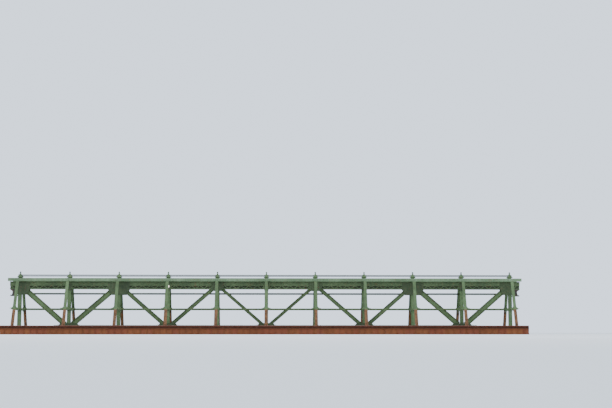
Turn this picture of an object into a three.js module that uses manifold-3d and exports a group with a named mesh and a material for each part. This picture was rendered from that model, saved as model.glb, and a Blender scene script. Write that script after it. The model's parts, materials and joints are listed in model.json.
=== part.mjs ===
import * as THREE from 'three';
import * as BufferGeometryUtils from 'three/addons/utils/BufferGeometryUtils.js';
import Module from 'manifold-3d';

// Overhead track girder span of a suspension railway. Millimetres, +Z up, X along the span,
// -Y towards the street side that the photograph shows. The span stands on its two rail girders.

// Driving dimensions
const PANEL = 3000;            // distance between cross frames
const LAST = 5;                // cross frames run from -LAST to +LAST
const END = 15600;             // half length of chords, edges, rail girders and rails
const GAP = 0.3;               // joint gap between touching pieces

const RAIL_Y = 2325;           // centre of each rail girder
const RAIL_HALF = 75;          // half width of its flanges
const RAIL_WEB = 10;           // half thickness of its web
const RAIL_TOP = 340;          // top of the rail girder
const RAIL_FLANGE = 20;
const STIFF_PITCH = 1500;
const RAIL_HEAD_TOP = 525;     // top of the running rail

const CHORD_HALF = 90;         // half width of both centre chords
const TOP_Z = [2735, 3206.7];  // underside and top of the upper centre chord
const TOP_COVER = 170;         // half width of its cover plate
const WEB = 12;                // thickness of its webs
const LACE_Z = [2800, 2945];   // laced strip of the webs
const LACE_STEP = 250;         // half a turn of the lacing
const LACE_BAR = 45;           // half width of a lacing bar, measured along the span
const LOW_Z = [76, 560];       // underside and top of the lower centre chord
const PLATE = 18;              // thickness of the node plates

const EDGE_Y = 650;            // upper edge channels
const EDGE_Z = [3207, 3393];
const LEG_TOP = [650, 3206.7]; // y, z of the upper end of a frame leg
const LEG_LOW = [1800, 330];   // y, z of its lower end
const LEG_X = [88, 100];       // half width of a leg along the span, at its top and at its foot
const LEG_DEEP = 60;           // half depth of a leg across the span
const FLANGE = 12;             // flange thickness of built-up bars
const RIB = 8;                 // half thickness of their ribs
const POST_X = 110;            // half width of a centre post along the span
const POST_Y = 80;             // and across it
const BEAM_X = 70;
const BEAM_Z = [120, 400];

const SIDE_Y = 1341;           // side longitudinals
const SIDE_Z = 1520;
const SIDE_HALF = 28;
const TIE_Z = [2414, 2516];    // centre longitudinal
const TIE_Y = [CHORD_HALF + PLATE + 2 * GAP, CHORD_HALF + PLATE + 40];

const SYS_TOP = 3004;          // truss system lines
const SYS_LOW = 411;

const RIDGE_Z = 3598;          // rod along the finials
const RIDGE_R = 26;
const FINIAL_TIP = 3817;
// half width and height of the square outline of a finial, from its foot up
const FINIAL = [[95, 3305], [165, 3470], [60, 3640], [30, 3730]];
const KNOB_R = 50;

const BEAR_X = 15350;          // bearing pins
const PIN_Z = 2560;
const PIN_R = 40;
const EYE_CLEAR = 6;

// name, panel where the bar leaves the lower chord, panel where it meets the upper one, half width
const DIAGONALS = [
  ['diagonal_l5', -4, -5, 155],
  ['diagonal_l4', -4, -3, 155],
  ['diagonal_l3', -2, -3, 120],
  ['diagonal_l2', -2, -1, 115],
  ['diagonal_l1', 0, -1, 97],
  ['diagonal_r1', 0, 1, 97],
  ['diagonal_r2', 2, 1, 115],
  ['diagonal_r3', 2, 3, 120],
  ['diagonal_r4', 4, 3, 155],
  ['diagonal_r5', 4, 5, 155],
];

// distance from mid-span in panels: half length of the upper node plate and its underside
const TOP_PLATES = { 1: [410, 2640], 3: [660, 2390], 5: [620, 2410] };
// the same for the lower node plate and its upper edge
const LOW_PLATES = { 0: [620, 690], 2: [660, 690], 4: [700, 690] };

const COLOURS = {
  green_paint: '#7a9a72',
  shade_green: '#4c6647',
  rust_brown: '#8a5034',
  rail_steel: '#5f3a33',
  lamp_glass: '#e8e6da',
  bearing_iron: '#4a4d48',
};

const wasm = await Module();
wasm.setup();

function toManifold(geometry) {
  const g = geometry.clone();
  g.deleteAttribute('normal');
  g.deleteAttribute('uv');
  const merged = BufferGeometryUtils.mergeVertices(g, 1e-4);
  return new wasm.Manifold(new wasm.Mesh({
    numProp: 3,
    vertProperties: new Float32Array(merged.attributes.position.array),
    triVerts: new Uint32Array(merged.index.array),
  }));
}

function toGeometry(solid) {
  const m = solid.getMesh();
  let g = new THREE.BufferGeometry();
  g.setAttribute('position', new THREE.BufferAttribute(new Float32Array(m.vertProperties), 3));
  g.setIndex(new THREE.BufferAttribute(new Uint32Array(m.triVerts), 1));
  g = g.toNonIndexed();
  g.computeVertexNormals();
  return g;
}

// Box from its six limits
function box(x0, x1, y0, y1, z0, z1) {
  const g = new THREE.BoxGeometry(Math.abs(x1 - x0), Math.abs(y1 - y0), Math.abs(z1 - z0));
  g.translate((x0 + x1) / 2, (y0 + y1) / 2, (z0 + z1) / 2);
  return toManifold(g);
}

// Outline of [u, v] points, pushed along one axis between two limits
function prism(points, axis, from, to) {
  const shape = new THREE.Shape(points.map(([u, v]) => new THREE.Vector2(u, v)));
  const g = new THREE.ExtrudeGeometry(shape, { depth: to - from, bevelEnabled: false });
  g.translate(0, 0, from);
  if (axis === 'x') {
    // outline u is Y, v is Z
    g.applyMatrix4(new THREE.Matrix4().set(0, 0, 1, 0, 1, 0, 0, 0, 0, 1, 0, 0, 0, 0, 0, 1));
  } else if (axis === 'y') {
    // outline u is Z, v is X
    g.applyMatrix4(new THREE.Matrix4().set(0, 1, 0, 0, 0, 0, 1, 0, 1, 0, 0, 0, 0, 0, 0, 1));
  }
  return toManifold(g);
}

// Bar of rectangular section between two points of the XZ plane
function barXZ(a, b, half, y0, y1) {
  const dx = b[0] - a[0];
  const dz = b[1] - a[1];
  const n = Math.hypot(dx, dz);
  const ox = -dz / n * half;
  const oz = dx / n * half;
  const pts = [
    [a[1] + oz, a[0] + ox],
    [b[1] + oz, b[0] + ox],
    [b[1] - oz, b[0] - ox],
    [a[1] - oz, a[0] - ox],
  ];
  return prism(pts, 'y', y0, y1);
}

// Bar of rectangular section between two points of the XY plane
function barXY(a, b, half, z0, z1) {
  const dx = b[0] - a[0];
  const dy = b[1] - a[1];
  const n = Math.hypot(dx, dy);
  const ox = -dy / n * half;
  const oy = dx / n * half;
  const pts = [
    [a[0] + ox, a[1] + oy],
    [b[0] + ox, b[1] + oy],
    [b[0] - ox, b[1] - oy],
    [a[0] - ox, a[1] - oy],
  ];
  return prism(pts, 'z', z0, z1);
}

// Bar in the YZ plane whose width along X changes from one end to the other. shift moves it
// across its length, for the flanges of a built-up bar.
function taperedYZ(a, b, x, halfA, halfB, half, shift) {
  const dy = b[0] - a[0];
  const dz = b[1] - a[1];
  const n = Math.hypot(dy, dz);
  const corners = [];
  for (const [p, w] of [[a, halfA], [b, halfB]]) {
    for (const [sx, sn] of [[-1, -1], [1, -1], [1, 1], [-1, 1]]) {
      const off = shift + sn * half;
      corners.push(x + sx * w, p[0] - dz / n * off, p[1] + dy / n * off);
    }
  }
  const faces = [[0, 1, 2, 3], [4, 7, 6, 5], [0, 4, 5, 1], [1, 5, 6, 2], [2, 6, 7, 3], [3, 7, 4, 0]];
  const m = new wasm.Mesh({
    numProp: 3,
    vertProperties: new Float32Array(corners),
    triVerts: new Uint32Array(faces.flatMap(([p, q, r, t]) => [p, q, r, p, r, t])),
  });
  return new wasm.Manifold(m);
}

// Square frustum about a vertical line, from its half widths
function frustum(x, half0, z0, half1, z1) {
  const g = new THREE.CylinderGeometry(half1 * Math.SQRT2, half0 * Math.SQRT2, z1 - z0, 4);
  g.rotateX(Math.PI / 2);
  g.rotateZ(Math.PI / 4);
  g.translate(x, 0, (z0 + z1) / 2);
  return toManifold(g);
}

// Joins a long list in pairs, which keeps each join small
function unionTree(list) {
  let level = list;
  while (level.length > 1) {
    const next = [];
    for (let i = 0; i < level.length; i += 2) {
      next.push(i + 1 < level.length ? level[i].add(level[i + 1]) : level[i]);
    }
    level = next;
  }
  return level[0];
}

function rodAlong(axis, radius, from, to, at, sides = 16) {
  const g = new THREE.CylinderGeometry(radius, radius, to - from, sides);
  g.translate(0, (from + to) / 2, 0);
  if (axis === 'x') {
    g.rotateZ(-Math.PI / 2);
    g.translate(0, at[0], at[1]);
  } else {
    g.translate(at[0], 0, at[1]);
  }
  return toManifold(g);
}

const group = new THREE.Group();
group.name = 'suspension_railway_girder_span';

function add(name, colour, solid) {
  const material = new THREE.MeshStandardMaterial({
    name: colour,
    color: COLOURS[colour],
    metalness: 0.1,
    roughness: 0.7,
  });
  const mesh = new THREE.Mesh(toGeometry(solid), material);
  mesh.name = name;
  group.add(mesh);
}

const panels = Array.from({ length: 2 * LAST + 1 }, (_, i) => i - LAST);

// Rail girders: riveted plate girders with stiffeners on both faces of the web
function railGirder(side) {
  const y = side * RAIL_Y;
  const parts = [
    box(-END, END, y - RAIL_WEB, y + RAIL_WEB, 0, RAIL_TOP),
    box(-END, END, y - RAIL_HALF, y + RAIL_HALF, 0, RAIL_FLANGE),
    box(-END, END, y - RAIL_HALF, y + RAIL_HALF, RAIL_TOP - RAIL_FLANGE, RAIL_TOP),
  ];
  const count = Math.floor(END / STIFF_PITCH);
  for (let i = -count; i <= count; i += 1) {
    const x = i * STIFF_PITCH;
    parts.push(box(x - 6, x + 6, y - RAIL_HALF + 8, y + RAIL_HALF - 8, 5, RAIL_TOP - 5));
  }
  return unionTree(parts);
}

// Running rail on top of the rail girder
function rail(side) {
  const y = side * RAIL_Y;
  const pts = [
    [y - 70, RAIL_TOP + GAP],
    [y + 70, RAIL_TOP + GAP],
    [y + 70, RAIL_TOP + 22],
    [y + 14, RAIL_TOP + 42],
    [y + 14, RAIL_HEAD_TOP - 60],
    [y + 36, RAIL_HEAD_TOP - 46],
    [y + 36, RAIL_HEAD_TOP],
    [y - 36, RAIL_HEAD_TOP],
    [y - 36, RAIL_HEAD_TOP - 46],
    [y - 14, RAIL_HEAD_TOP - 60],
    [y - 14, RAIL_TOP + 42],
    [y - 70, RAIL_TOP + 22],
  ];
  return prism(pts, 'x', -END, END);
}

for (const [label, side] of [['near', -1], ['far', 1]]) {
  add(`rail_girder_${label}`, 'rust_brown', railGirder(side));
  add(`rail_${label}`, 'rail_steel', rail(side));
  add(`upper_edge_${label}`, 'green_paint', prism([
    [side * (EDGE_Y + 12), EDGE_Z[0]],
    [side * (EDGE_Y + 12), EDGE_Z[1]],
    [side * (EDGE_Y - 60), EDGE_Z[1]],
    [side * (EDGE_Y - 60), EDGE_Z[1] - 14],
    [side * (EDGE_Y - 2), EDGE_Z[1] - 14],
    [side * (EDGE_Y - 2), EDGE_Z[0] + 14],
    [side * (EDGE_Y - 60), EDGE_Z[0] + 14],
    [side * (EDGE_Y - 60), EDGE_Z[0]],
  ], 'x', -END, END));
  add(`side_longitudinal_${label}`, 'green_paint', box(
    -LAST * PANEL - 200, LAST * PANEL + 200,
    side * SIDE_Y - SIDE_HALF, side * SIDE_Y + SIDE_HALF,
    SIDE_Z - SIDE_HALF, SIDE_Z + SIDE_HALF,
  ));
}

// Upper centre chord: cover plate, middle web, two side webs laced along their lower strip
function upperChord() {
  const cover = TOP_Z[1] - 22;
  const w = CHORD_HALF;
  const v = CHORD_HALF - WEB;
  const right = [
    [TOP_COVER, TOP_Z[1]], [TOP_COVER, cover], [w, cover], [w, TOP_Z[0]], [30, TOP_Z[0]],
    [30, TOP_Z[0] + WEB], [v, TOP_Z[0] + WEB], [v, cover], [6, cover], [6, TOP_Z[0] + 2 * WEB],
  ];
  const left = right.map(([y, z]) => [-y, z]).reverse();
  const solid = prism([...right, ...left], 'x', -END, END);
  const height = (LACE_STEP - LACE_BAR) * (LACE_Z[1] - LACE_Z[0]) / LACE_STEP;
  const windows = [];
  const count = Math.floor(2 * END / LACE_STEP) - 1;
  for (let k = 1; k < count; k += 1) {
    const x = -END + 30 + k * LACE_STEP;
    const foot = k % 2 === 0 ? LACE_Z[0] : LACE_Z[1];
    const tip = k % 2 === 0 ? LACE_Z[0] + height : LACE_Z[1] - height;
    const outline = [
      [foot, x - LACE_STEP + LACE_BAR],
      [foot, x + LACE_STEP - LACE_BAR],
      [tip, x],
    ];
    windows.push(prism(outline, 'y', -w - 5, -v + 5));
    windows.push(prism(outline, 'y', v - 5, w + 5));
  }
  return solid.subtract(unionTree(windows));
}
add('upper_chord', 'shade_green', upperChord());
add('lower_chord', 'shade_green', box(-12900, 12900, -CHORD_HALF, CHORD_HALF, LOW_Z[0], LOW_Z[1]));
add('centre_longitudinal', 'shade_green', box(
  -LAST * PANEL - 80, LAST * PANEL + 80, TIE_Y[0], TIE_Y[1], TIE_Z[0], TIE_Z[1],
));

// Upper struts between the edge channels, with the finials and the rod that joins them
function upperStruts() {
  const inner = EDGE_Y - 2 - GAP;
  const z = EDGE_Z[0] + 14 + GAP;
  const parts = [rodAlong('x', RIDGE_R, -LAST * PANEL, LAST * PANEL, [0, RIDGE_Z], 8)];
  for (const i of panels) {
    const x = i * PANEL;
    parts.push(box(x - RIB, x + RIB, -inner, inner, z, z + 85));
    parts.push(box(x - 60, x + 60, -inner, inner, z + 80, z + 90));
    for (let k = 0; k + 1 < FINIAL.length; k += 1) {
      parts.push(frustum(x, FINIAL[k][0], FINIAL[k][1], FINIAL[k + 1][0], FINIAL[k + 1][1]));
    }
    const knob = new THREE.SphereGeometry(KNOB_R, 8, 5);
    knob.rotateX(Math.PI / 2);
    knob.translate(x, 0, FINIAL_TIP - KNOB_R);
    parts.push(toManifold(knob));
  }
  return unionTree(parts);
}
add('upper_struts', 'green_paint', upperStruts());

// Flat brace in each panel between two struts, on the level of their ribs
for (const i of panels.slice(0, -1)) {
  const x = i * PANEL;
  const s = i % 2 === 0 ? 1 : -1;
  const z = EDGE_Z[0] + 45;
  const bar = barXY([x, -s * 590], [x + PANEL, s * 590], 35, z, z + 14);
  const clip = box(x + RIB + GAP, x + PANEL - RIB - GAP, -600, 600, 0, 5000);
  add(`upper_brace_${i + LAST + 1}`, 'green_paint', bar.intersect(clip));
}

// Lower bracing: one flat bar per panel under the floor beams, from rail girder to rail girder
for (const i of panels.slice(0, -1)) {
  const x = i * PANEL;
  const s = i % 2 === 0 ? 1 : -1;
  const bar = barXY([x, -s * 2130], [x + PANEL, s * 2130], 45, 40, LOW_Z[0] - 10);
  const clip = box(x + 60, x + PANEL - 60, -2240, 2240, 0, 200);
  add(`lower_brace_${i + LAST + 1}`, 'shade_green', bar.intersect(clip));
}

// Cross frames: two spread legs, centre post, cross tie, floor beam in two halves, node plates
const sideHoles = [-1, 1].map((s) => box(
  -LAST * PANEL - 300, LAST * PANEL + 300,
  s * SIDE_Y - SIDE_HALF - GAP, s * SIDE_Y + SIDE_HALF + GAP,
  SIDE_Z - SIDE_HALF - GAP, SIDE_Z + SIDE_HALF + GAP,
));

// Node plate over a chord's face: straight along the chord, its free corners sloped off
function nodePlate(x, half, chordZ, freeZ, y0, y1, cutLeft, cutRight) {
  const slope = 0.22 * half;
  const mid = chordZ + (freeZ - chordZ) * 0.62;
  const stub = POST_X + 20;
  const pts = [];
  if (cutLeft) {
    pts.push([chordZ, x - stub], [freeZ, x - stub]);
  } else {
    pts.push([chordZ, x - half], [mid, x - half], [freeZ, x - half + slope]);
  }
  if (cutRight) {
    pts.push([freeZ, x + stub], [chordZ, x + stub]);
  } else {
    pts.push([freeZ, x + half - slope], [mid, x + half], [chordZ, x + half]);
  }
  return prism(pts, 'y', y0, y1);
}

// Bracket with hollow curves on both sides, standing on a side longitudinal and leaning with
// the outer flange of the leg
function sideBracket(x, side) {
  const foot = SIDE_Z + SIDE_HALF + GAP;
  const reach = 275;
  const rise = 200;
  const pts = [[foot, x - reach], [foot, x + reach]];
  for (const t of [1, -1]) {
    for (let k = 0; k <= 3; k += 1) {
      const a = (t > 0 ? k : 3 - k) / 3 * Math.PI / 2;
      pts.push([
        foot + 14 + rise * (1 - Math.cos(a)),
        x + t * (reach - rise * Math.sin(a)),
      ]);
    }
  }
  const lean = (LEG_TOP[0] - LEG_LOW[0]) / (LEG_TOP[1] + 60 - LEG_LOW[1]) * side;
  const y = side * (SIDE_Y + 14);
  const shear = [1, 0, 0, 0, 0, 1, 0, 0, 0, lean, 1, 0, 0, -lean * foot, 0, 1];
  return prism(pts, 'y', y - 6, y + 6).transform(shear);
}

function crossFrame(i) {
  const x = i * PANEL;
  const k = Math.abs(i);
  const low = k === LAST ? BEAM_Z[1] - 10 : LOW_Z[1] + GAP;
  const top = TOP_Z[0] - GAP;
  const parts = [
    // centre post: web across the span with a flange on each face
    box(x - RIB + 2, x + RIB - 2, -POST_Y + 2, POST_Y - 2, low + 1, top),
    box(x - POST_X, x + POST_X, -POST_Y, -POST_Y + FLANGE, low, top),
    box(x - POST_X, x + POST_X, POST_Y - FLANGE, POST_Y, low, top),
    // cross tie
    box(x - 30, x + 30, -SIDE_Y, SIDE_Y, SIDE_Z - 75, SIDE_Z + 75),
  ];
  for (const s of [-1, 1]) {
    const foot = [s * LEG_LOW[0], LEG_LOW[1]];
    const head = [s * LEG_TOP[0], LEG_TOP[1] + 60];
    const edge = LEG_DEEP - FLANGE / 2;
    parts.push(taperedYZ(foot, head, x, RIB, RIB, edge, 0));
    parts.push(taperedYZ(foot, head, x, LEG_X[1], LEG_X[0], FLANGE / 2, s * edge));
    const near = k === LAST ? -10 : CHORD_HALF + GAP;
    const far = RAIL_Y - RAIL_HALF - GAP;
    parts.push(box(x - RIB, x + RIB, s * near, s * far, BEAM_Z[0] + 5, BEAM_Z[1]));
    parts.push(box(x - BEAM_X, x + BEAM_X, s * near, s * far, BEAM_Z[0], BEAM_Z[0] + FLANGE));
    // foot plate from the leg to the floor beam, knee plate at the cross tie
    parts.push(prism([
      [s * 1450, BEAM_Z[1] - 20], [s * 2200, BEAM_Z[1] - 20], [s * 1860, 620], [s * 1600, 680],
    ], 'x', x + 4, x + 16));
    parts.push(prism([
      [s * 950, SIDE_Z - 70], [s * 1360, SIDE_Z - 300], [s * 1440, SIDE_Z - 70],
      [s * 1240, SIDE_Z + 340], [s * 950, SIDE_Z + 70],
    ], 'x', x - 16, x - 4));
    parts.push(sideBracket(x, s));
    // plates over the chord faces, small where only the post arrives
    const face = [s * (CHORD_HALF + GAP), s * (CHORD_HALF + GAP + PLATE)].sort((a, b) => a - b);
    const high = TOP_Z[1] - 60;
    const upper = TOP_PLATES[k];
    if (upper) {
      parts.push(nodePlate(x, upper[0], high, upper[1], face[0], face[1], i === -LAST, i === LAST));
    } else {
      parts.push(box(x - POST_X - 20, x + POST_X + 20, face[0], face[1], 2660, high));
    }
    const lower = LOW_PLATES[k];
    if (lower) parts.push(nodePlate(x, lower[0], 150, lower[1], face[0], face[1], false, false));
  }
  // packing that joins the plates to the post
  const y = CHORD_HALF + GAP + PLATE;
  parts.push(box(x - POST_X, x + POST_X, -y, y, top - 70, top));
  if (LOW_PLATES[k]) parts.push(box(x - POST_X, x + POST_X, -y, y, low, low + 70));
  let solid = unionTree(parts);
  solid = solid.subtract(box(x - 900, x + 900, -900, 900, EDGE_Z[0] - GAP, EDGE_Z[0] + 900));
  for (const hole of sideHoles) solid = solid.subtract(hole);
  return solid;
}

for (const i of panels) {
  const side = i < 0 ? 'l' : 'r';
  const name = i === 0 ? 'cross_frame_mid' : `cross_frame_${side}${Math.abs(i)}`;
  add(name, 'green_paint', crossFrame(i));
}

// Diagonals between the node plates: a web plate with a flange along each edge
for (const [name, from, to, half] of DIAGONALS) {
  const a = new THREE.Vector3(from * PANEL, 0, SYS_LOW);
  const b = new THREE.Vector3(to * PANEL, 0, SYS_TOP);
  const along = b.clone().sub(a).normalize();
  const across = new THREE.Vector3(0, 1, 0).cross(along);
  const y = CHORD_HALF - 2;
  const inner = half - FLANGE;
  const right = [[half, y], [inner, y], [inner, RIB], [-inner, RIB], [-inner, y], [-half, y]];
  const left = right.map(([u, v]) => [u, -v]).reverse();
  const shape = new THREE.Shape([...right, ...left].map(([u, v]) => new THREE.Vector2(u, v)));
  const g = new THREE.ExtrudeGeometry(shape, { depth: a.distanceTo(b), bevelEnabled: false });
  g.applyMatrix4(new THREE.Matrix4().makeBasis(across, new THREE.Vector3(0, 1, 0), along));
  g.translate(a.x, a.y, a.z);
  let bar = toManifold(g);
  if (bar.volume() < 0) throw new Error(`${name} is inside out`);
  const x0 = Math.min(a.x, b.x) + POST_X + 25;
  const x1 = Math.max(a.x, b.x) - POST_X - 25;
  bar = bar.intersect(box(x0, x1, -200, 200, LOW_Z[1] + GAP, TOP_Z[0] - GAP));
  add(name, 'green_paint', bar);
}

// Small round lamp on the near face of the upper chord
const lampSolid = new THREE.CylinderGeometry(90, 70, 80, 20);
lampSolid.translate(0, -CHORD_HALF - 2 * GAP - PLATE - 40, 0);
lampSolid.translate(-2 * PANEL, 0, 2915);
add('lamp', 'lamp_glass', toManifold(lampSolid));

// Bearings: shoe with two lugs and a pin under each end of the upper chord, rocker hung on the pin
for (const [label, side] of [['left', -1], ['right', 1]]) {
  const x = side * BEAR_X;
  const z1 = TOP_Z[0] - GAP;
  const shoe = [
    box(x - 200, x + 200, -170, 170, z1 - 40, z1),
    rodAlong('y', PIN_R, -150, 150, [x, PIN_Z], 24),
  ];
  for (const s of [-1, 1]) {
    const faces = [s * 95, s * 130].sort((a, b) => a - b);
    shoe.push(rodAlong('y', 72, faces[0], faces[1], [x, PIN_Z], 24));
    shoe.push(prism([
      [z1 - 20, x - 165], [PIN_Z + 20, x - 69], [PIN_Z - 20, x - 60],
      [PIN_Z - 20, x + 60], [PIN_Z + 20, x + 69], [z1 - 20, x + 165],
    ], 'y', faces[0], faces[1]));
  }
  add(`bearing_shoe_${label}`, 'bearing_iron', unionTree(shoe));
  const rocker = unionTree([
    rodAlong('y', 92, -85, 85, [x, PIN_Z], 24),
    prism([
      [PIN_Z, x - 90], [PIN_Z - 190, x - 150], [PIN_Z - 190, x + 150], [PIN_Z, x + 90],
    ], 'y', -30, 30),
    prism([
      [PIN_Z - 30, x - 86], [PIN_Z - 190, x - 60], [PIN_Z - 190, x + 60], [PIN_Z - 30, x + 86],
    ], 'y', -85, 85),
    box(x - 200, x + 200, -170, 170, PIN_Z - 240, PIN_Z - 185),
  ]).subtract(rodAlong('y', PIN_R + EYE_CLEAR, -100, 100, [x, PIN_Z], 24));
  add(`bearing_rocker_${label}`, 'bearing_iron', rocker);
}

export default group;
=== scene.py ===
import json
import math

import bmesh
import bpy
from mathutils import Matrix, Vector

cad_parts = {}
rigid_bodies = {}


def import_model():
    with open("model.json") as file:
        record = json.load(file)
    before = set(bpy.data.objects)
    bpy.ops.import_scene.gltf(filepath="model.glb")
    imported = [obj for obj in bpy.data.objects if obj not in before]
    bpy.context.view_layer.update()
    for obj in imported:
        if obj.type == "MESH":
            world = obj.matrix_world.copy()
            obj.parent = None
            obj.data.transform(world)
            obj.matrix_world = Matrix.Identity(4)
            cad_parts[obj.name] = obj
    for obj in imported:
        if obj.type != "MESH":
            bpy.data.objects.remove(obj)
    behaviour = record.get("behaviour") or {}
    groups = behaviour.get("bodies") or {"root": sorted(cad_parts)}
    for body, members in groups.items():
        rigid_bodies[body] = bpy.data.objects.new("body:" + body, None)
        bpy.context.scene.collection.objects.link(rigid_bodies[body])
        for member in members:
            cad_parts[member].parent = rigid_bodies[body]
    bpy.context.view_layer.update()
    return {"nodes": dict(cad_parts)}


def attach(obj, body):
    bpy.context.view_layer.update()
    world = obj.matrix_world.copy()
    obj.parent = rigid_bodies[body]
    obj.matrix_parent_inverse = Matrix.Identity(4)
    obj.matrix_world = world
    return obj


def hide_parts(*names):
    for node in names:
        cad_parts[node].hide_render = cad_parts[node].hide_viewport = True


# Girder span of an overhead suspension railway, dressed around its solids.
# Metres. X runs along the span, -Y faces the street, Z is up.

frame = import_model()

# Sizes shared with the solids
PANEL = 3.0                    # distance between cross frames
LAST = 5                       # cross frames run from -LAST to +LAST
PANELS = range(-LAST, LAST + 1)
END = 15.6                     # half length of chords, edges, rail girders and rails
ALONG = (-END, END)
BOTH = (-1, 1)                 # the two sides of a middle line or plane
GAP = 0.0003                   # joint gap between touching pieces
SEAT = 0.0005                  # rivet heads are centred this far off a face

RAIL_Y = 2.325                 # centre of each rail girder
RAIL_HALF = 0.075              # half width of its flanges
RAIL_TOP = 0.340               # its top
RAIL_HEAD_TOP = 0.525          # top of the running rail

CHORD_HALF = 0.090             # half width of both centre chords
TOP_Z = (2.735, 3.2067)        # underside and top of the upper centre chord
LOW_Z = (0.076, 0.560)         # underside and top of the lower centre chord
LOW_END = 12.9                 # half length of the lower centre chord
PLATE = 0.018                  # from a chord's face to the outer face of its node plates
FACE_Y = CHORD_HALF + PLATE

EDGE_Y = 0.650                 # upper edge channels
EDGE_Z = (3.207, 3.393)
LEG_TOP = (0.650, 3.2667)      # y, z of the upper end of a frame leg
LEG_LOW = (1.800, 0.330)       # y, z of its lower end
LEG_X = (0.100, 0.088)         # half width of its outer flange, at its foot and at its top
LEG_INNER = (0.066, 0.058)     # the same of its inner flange
LEG_ANGLE = (0.058, 0.050)     # the same of the angles against both flanges
POST_X = 0.110                 # half width of a centre post along the span
POST_Y = 0.080                 # and across it
BEAM_X = 0.070                 # half width of a floor beam's flanges
BEAM_Z = (0.120, 0.400)        # its underside and top

SIDE_Y = 1.341                 # side longitudinals
SIDE_Z = 1.520
SIDE_HALF = 0.028
CENTRE_Y = (0.1086, 0.148)     # centre longitudinal
CENTRE_Z = (2.414, 2.516)
BRACE_Z = (0.040, 0.066)       # lower braces

SYS_TOP = 3.004                # system lines of the truss
SYS_LOW = 0.411
RIDGE_Z = 3.598                # rod along the finials
RIDGE_R = 0.026
FINIAL_TIP = 3.817
BEAR_X = 15.350                # bearing pins
PIN_Z = 2.560

# name, panel at the lower chord, panel at the upper chord, half width
DIAGONALS = (
    ("l5", -4, -5, 0.155),
    ("l4", -4, -3, 0.155),
    ("l3", -2, -3, 0.120),
    ("l2", -2, -1, 0.115),
    ("l1", 0, -1, 0.097),
    ("r1", 0, 1, 0.097),
    ("r2", 2, 1, 0.115),
    ("r3", 2, 3, 0.120),
    ("r4", 4, 3, 0.155),
    ("r5", 4, 5, 0.155),
)
# panels from mid-span: half length of the node plate, height of its free edge
TOP_PLATES = {1: (0.410, 2.640), 3: (0.660, 2.390), 5: (0.620, 2.410)}
LOW_PLATES = {0: (0.620, 0.690), 2: (0.660, 0.690), 4: (0.700, 0.690)}


def panel_name(i):
    return "mid" if i == 0 else ("l" if i < 0 else "r") + str(abs(i))


def about(middle, half):
    return (middle - half, middle + half)


# Finishes
class Wire:
    """A shader socket that takes part in Python sums."""

    def __init__(self, finish, socket):
        self.finish = finish
        self.socket = socket

    def math(self, operation, *others, clamp=False):
        return self.finish.node(
            "ShaderNodeMath", {"operation": operation, "use_clamp": clamp}, self, *others)

    def __add__(self, other):
        return self.math("ADD", other)

    __radd__ = __add__

    def __rsub__(self, other):
        return (self * -1.0) + other

    def __mul__(self, other):
        return self.math("MULTIPLY", other)

    __rmul__ = __mul__

    def over(self, low, high):
        """0 below low, 1 above high, smooth between."""
        return self.finish.node(
            "ShaderNodeMapRange", {"interpolation_type": "SMOOTHSTEP"}, self, low, high, 0.0, 1.0)

    def clamped(self):
        return self.math("ADD", 0.0, clamp=True)


class Finish:
    """One material, built node by node."""

    def __init__(self, name):
        self.material = bpy.data.materials.new(name)
        self.material.use_nodes = True
        self.tree = self.material.node_tree
        self.tree.nodes.clear()
        out = self.tree.nodes.new("ShaderNodeOutputMaterial")
        self.shader = self.tree.nodes.new("ShaderNodeBsdfPrincipled")
        self.tree.links.new(self.shader.outputs["BSDF"], out.inputs["Surface"])
        self.place = self.node("ShaderNodeTexCoord", {}, output="Object")

    def feed(self, socket, value):
        if isinstance(value, Wire):
            self.tree.links.new(value.socket, socket)
        elif value is not None:
            socket.default_value = value

    def node(self, kind, settings, *values, output=0, **named):
        made = self.tree.nodes.new(kind)
        for key, value in settings.items():
            setattr(made, key, value)
        for index, value in enumerate(values):
            self.feed(made.inputs[index], value)
        for key, value in named.items():
            self.feed(made.inputs[key.replace("_", " ")], value)
        return Wire(self, made.outputs[output])

    def stretched(self, x, y, z):
        return self.node("ShaderNodeMapping", {}, self.place, Scale=(x, y, z))

    def noise(self, scale, detail=3.0, rough=0.55, where=None):
        return self.node("ShaderNodeTexNoise", {}, Vector=where or self.place, Scale=scale,
                         Detail=detail, Roughness=rough)

    def mix(self, amount, first, second):
        made = self.tree.nodes.new("ShaderNodeMix")
        made.data_type = "RGBA"
        # a mix node has sockets for numbers and vectors before those for colours
        factor, colour_a, colour_b = (made.inputs[index] for index in (0, 6, 7))
        self.feed(factor, amount)
        for socket, value in ((colour_a, first), (colour_b, second)):
            self.feed(socket, value if isinstance(value, Wire) else (*value, 1.0))
        return Wire(self, made.outputs[2])

    def height(self):
        return self.node("ShaderNodeSeparateXYZ", {}, self.place, output=2)

    def upward(self):
        """The surface normal's Z: 1 on flat tops, -1 underneath."""
        normal = self.node("ShaderNodeNewGeometry", {}, output="Normal")
        return self.node("ShaderNodeSeparateXYZ", {}, normal, output=2)

    def bump(self, height, strength, distance):
        return self.node("ShaderNodeBump", {}, Strength=strength, Distance=distance, Height=height)

    def done(self, colour, roughness, normal=None, metallic=None, **constants):
        self.feed(self.shader.inputs["Base Color"], colour)
        self.feed(self.shader.inputs["Roughness"], roughness)
        self.feed(self.shader.inputs["Normal"], normal)
        self.feed(self.shader.inputs["Metallic"], metallic)
        for key, value in constants.items():
            self.shader.inputs[key.replace("_", " ")].default_value = value
        return self.material


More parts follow.
